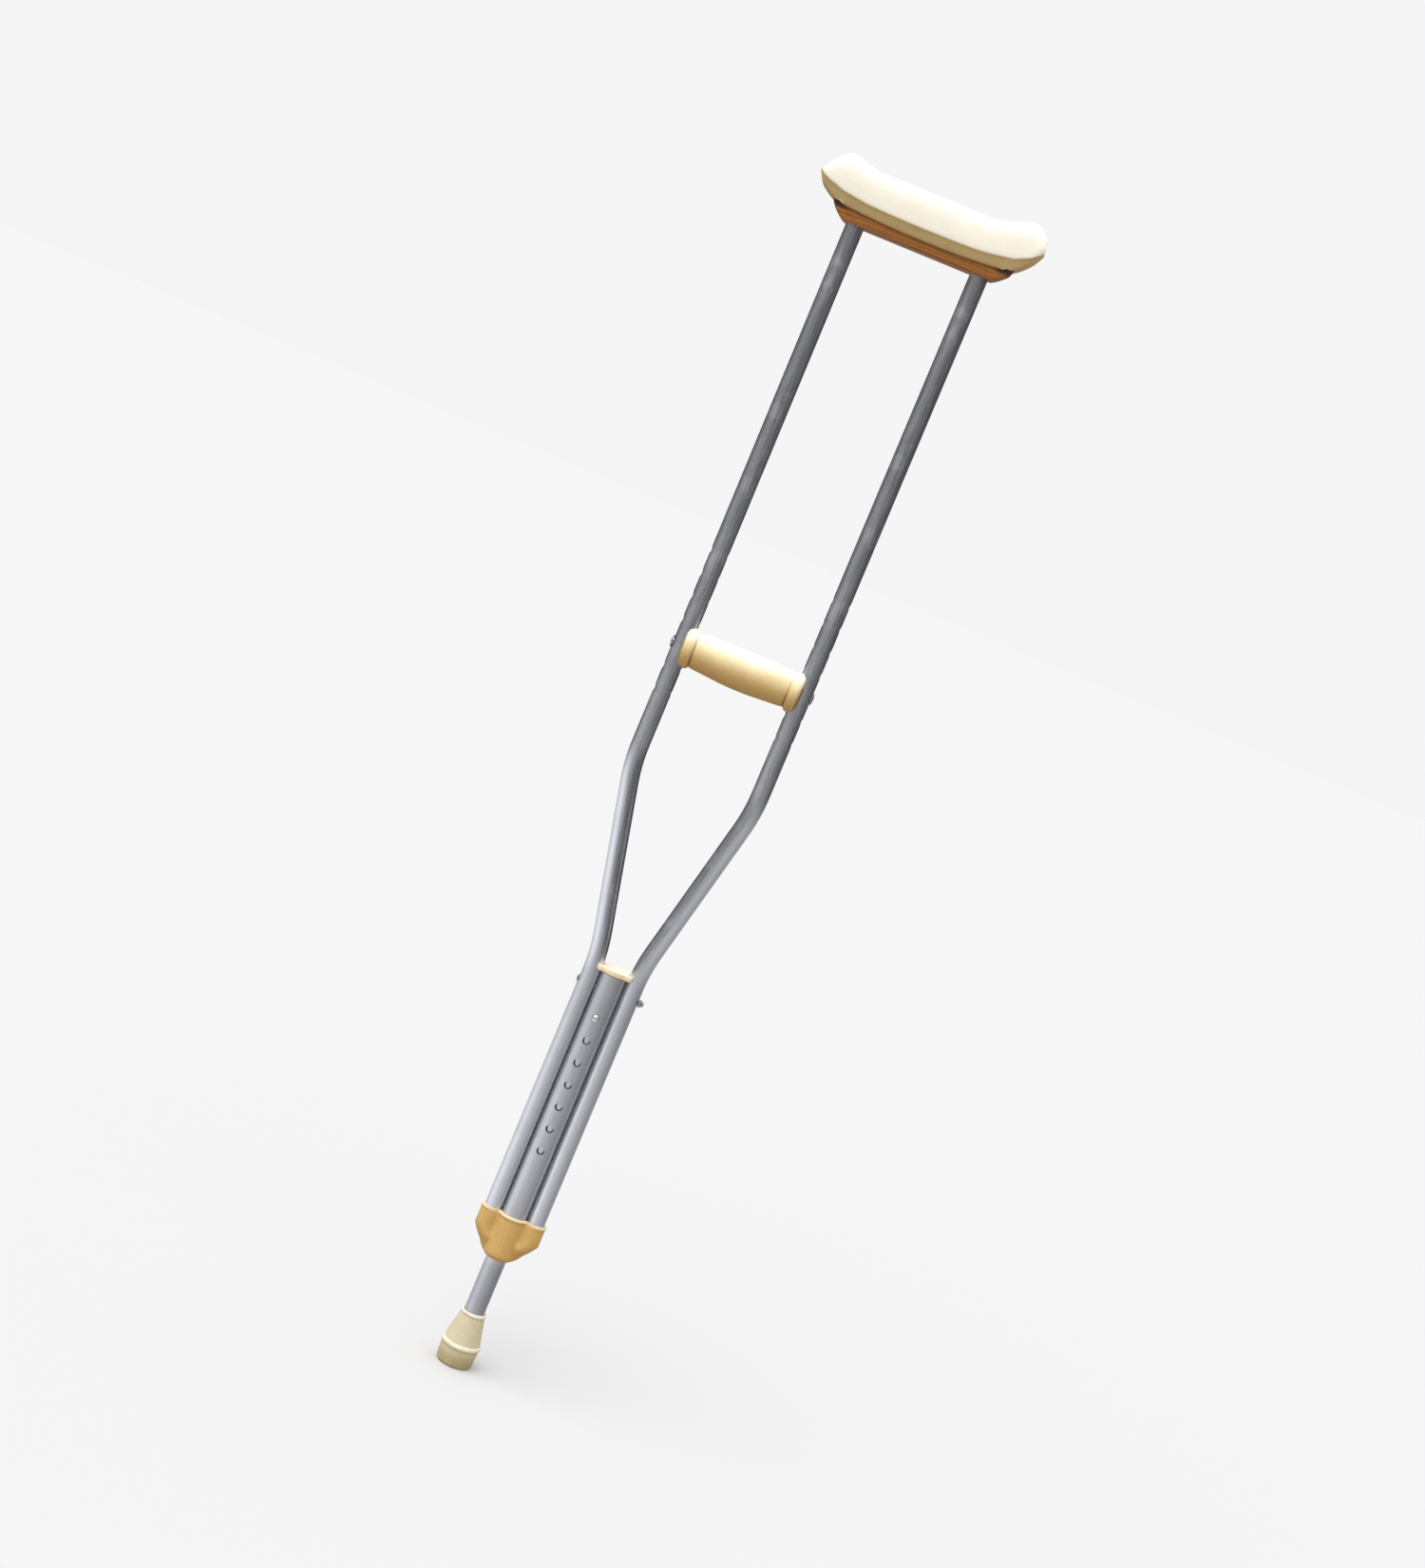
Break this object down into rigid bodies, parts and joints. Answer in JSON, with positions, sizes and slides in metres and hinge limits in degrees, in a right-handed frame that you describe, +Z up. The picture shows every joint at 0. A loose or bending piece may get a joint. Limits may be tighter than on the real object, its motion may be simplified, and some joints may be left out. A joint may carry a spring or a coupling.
{
  "type": "underarm crutch",
  "caption": "Height-adjustable aluminium underarm crutch with a padded saddle, a movable handgrip, a telescoping leg on snap buttons and a rubber tip.",
  "frame": {"origin": "centre of the rubber tip's flat ground face, with the leg fully in", "axes": "+Z up along the crutch from the tip to the underarm pad, X across the two side tubes, -Y the front, where the front snap button shows"},
  "size_m": [0.2396, 0.0436, 1.3205],
  "materials": {
    "tube_aluminium": "satin clear-anodised tube with fine drawn lines along it",
    "pad_rubber": "matt cream moulded foam rubber",
    "saddle_wood": "brown stained and varnished hardwood",
    "bracket_plastic": "amber moulded plastic, semi-gloss",
    "cap_plastic": "cream-yellow moulded plastic, semi-gloss",
    "grip_rubber": "matt cream moulded rubber",
    "core_wood": "plain turned beech",
    "tip_rubber": "matt beige moulded rubber",
    "zinc_steel": "bright zinc-plated steel",
    "nylon": "natural nylon"
  },
  "bodies": {
    "frame": {"side_tube_left": "tube_aluminium", "side_tube_right": "tube_aluminium", "centre_tube": "tube_aluminium", "top_cap": "cap_plastic", "cap_bolt": "zinc_steel", "cap_nut": "zinc_steel", "bottom_bracket": "bracket_plastic", "bracket_rivet_left": "zinc_steel", "bracket_rivet_right": "zinc_steel", "saddle": "saddle_wood", "underarm_pad": "pad_rubber", "tube_plug_left": "core_wood", "tube_plug_right": "core_wood", "saddle_screw_left": "zinc_steel", "saddle_screw_right": "zinc_steel"},
    "leg": {"leg_tube": "tube_aluminium", "leg_bush": "nylon", "button_spring": "zinc_steel", "rubber_tip": "tip_rubber", "tip_washer": "zinc_steel"},
    "front_button": {"front_button": "zinc_steel"},
    "rear_button": {"rear_button": "zinc_steel"},
    "handgrip": {"grip_core": "core_wood", "grip_cover": "grip_rubber", "grip_bolt": "zinc_steel", "grip_nut": "zinc_steel"}
  },
  "joints": [
    {"name": "leg_extension", "type": "slide", "parent": "frame", "child": "leg", "axis": [0, 0, -1], "range_m": [0, 0.1524]},
    {"name": "front_button_press", "type": "slide", "parent": "leg", "child": "front_button", "axis": [0, 1, 0], "range_m": [0, 0.005], "stiffness_N_per_m": 1500, "springref_m": -0.002, "deforming": ["button_spring"]},
    {"name": "rear_button_press", "type": "slide", "parent": "leg", "child": "rear_button", "axis": [0, -1, 0], "range_m": [0, 0.005], "stiffness_N_per_m": 1500, "springref_m": -0.002, "deforming": ["button_spring"]},
    {"name": "grip_height", "type": "slide", "parent": "frame", "child": "handgrip", "axis": [0, 0, 1], "range_m": [-0.0508, 0.1016]}
  ]
}
